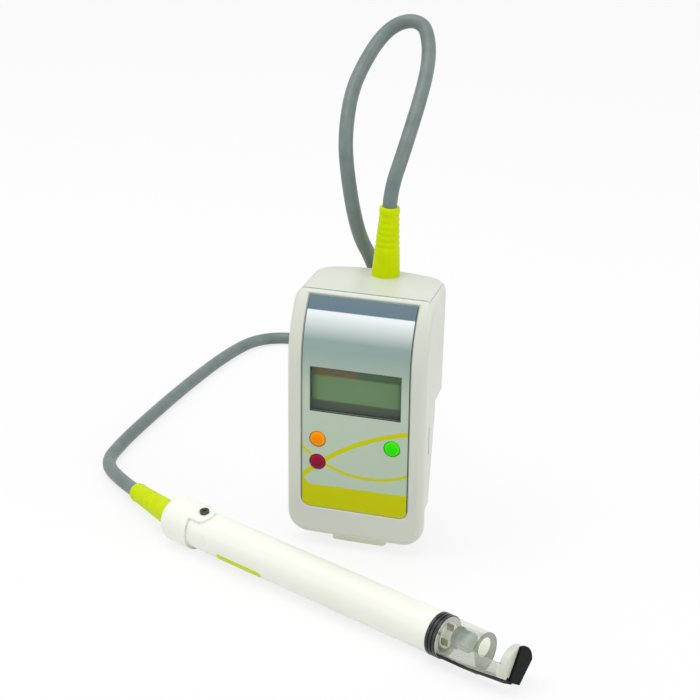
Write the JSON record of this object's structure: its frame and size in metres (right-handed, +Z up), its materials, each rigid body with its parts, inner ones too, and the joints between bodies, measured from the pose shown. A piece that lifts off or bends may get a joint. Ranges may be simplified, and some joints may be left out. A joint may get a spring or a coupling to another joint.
{
  "type": "colorimeter sensor",
  "caption": "Handheld colorimeter module with a display and push buttons, a data connector at its foot, and a dip probe with a clear optical head on a cable.",
  "frame": {"origin": "centre of the data connector's mouth, on the surface that the module and the probe stand on", "axes": "+Z up; -Y is the display side; +X to the right of someone who reads the display; the connector's mouth faces -Z"},
  "size_m": [0.2216, 0.2944, 0.2052],
  "materials": {
    "case_plastic": "fine moulded satin",
    "screw_steel": "zinc plated",
    "overlay_print": "printed film, satin gloss",
    "clear_pane": "clear, polished",
    "tin_frame": "tin plated sheet",
    "display_glass": "polished, olive reflective field",
    "board_laminate": "solder mask",
    "black_plastic": "moulded satin",
    "orange_plastic": "moulded, glossy",
    "crimson_plastic": "moulded, glossy",
    "green_plastic": "moulded, glossy",
    "contact_gold": "plated",
    "lime_sleeve": "soft PVC, satin",
    "grey_jacket": "soft PVC, satin",
    "white_plastic": "smooth extruded",
    "lime_tag": "printed film",
    "black_rubber": "satin",
    "clear_plastic": "clear, polished",
    "lamp_body": "translucent lens"
  },
  "bodies": {
    "body": {"front_shell": "case_plastic", "back_shell": "case_plastic", "case_screws": "screw_steel", "label_overlay": "overlay_print", "display_window": "clear_pane", "display_bezel": "tin_frame", "display_glass": "display_glass", "circuit_board": "board_laminate", "switch_bodies": "black_plastic", "connector_shell": "tin_frame", "connector_insulator": "black_plastic", "connector_pins": "contact_gold", "case_boot": "lime_sleeve", "cable": "grey_jacket", "probe_boot": "lime_sleeve", "probe_end_cap": "white_plastic", "cap_screw": "screw_steel", "probe_tube": "white_plastic", "probe_tag": "lime_tag", "probe_board": "board_laminate", "probe_collar": "black_rubber", "optical_head": "clear_plastic", "lamp_holder": "black_plastic", "lamp": "lamp_body", "lamp_contacts": "contact_gold", "detector": "black_plastic", "backing_strip": "black_plastic", "tip_plate": "black_plastic"},
    "orange_key": {"button_orange": "orange_plastic"},
    "crimson_key": {"button_crimson": "crimson_plastic"},
    "green_key": {"button_green": "green_plastic"}
  },
  "joints": [
    {"name": "orange_press", "type": "slide", "parent": "body", "child": "orange_key", "axis": [0, 1, 0], "range_m": [0, 0.0006], "stiffness_N_per_m": 200},
    {"name": "crimson_press", "type": "slide", "parent": "body", "child": "crimson_key", "axis": [0, 1, 0], "range_m": [0, 0.0006], "stiffness_N_per_m": 200},
    {"name": "green_press", "type": "slide", "parent": "body", "child": "green_key", "axis": [0, 1, 0], "range_m": [0, 0.0006], "stiffness_N_per_m": 200}
  ]
}
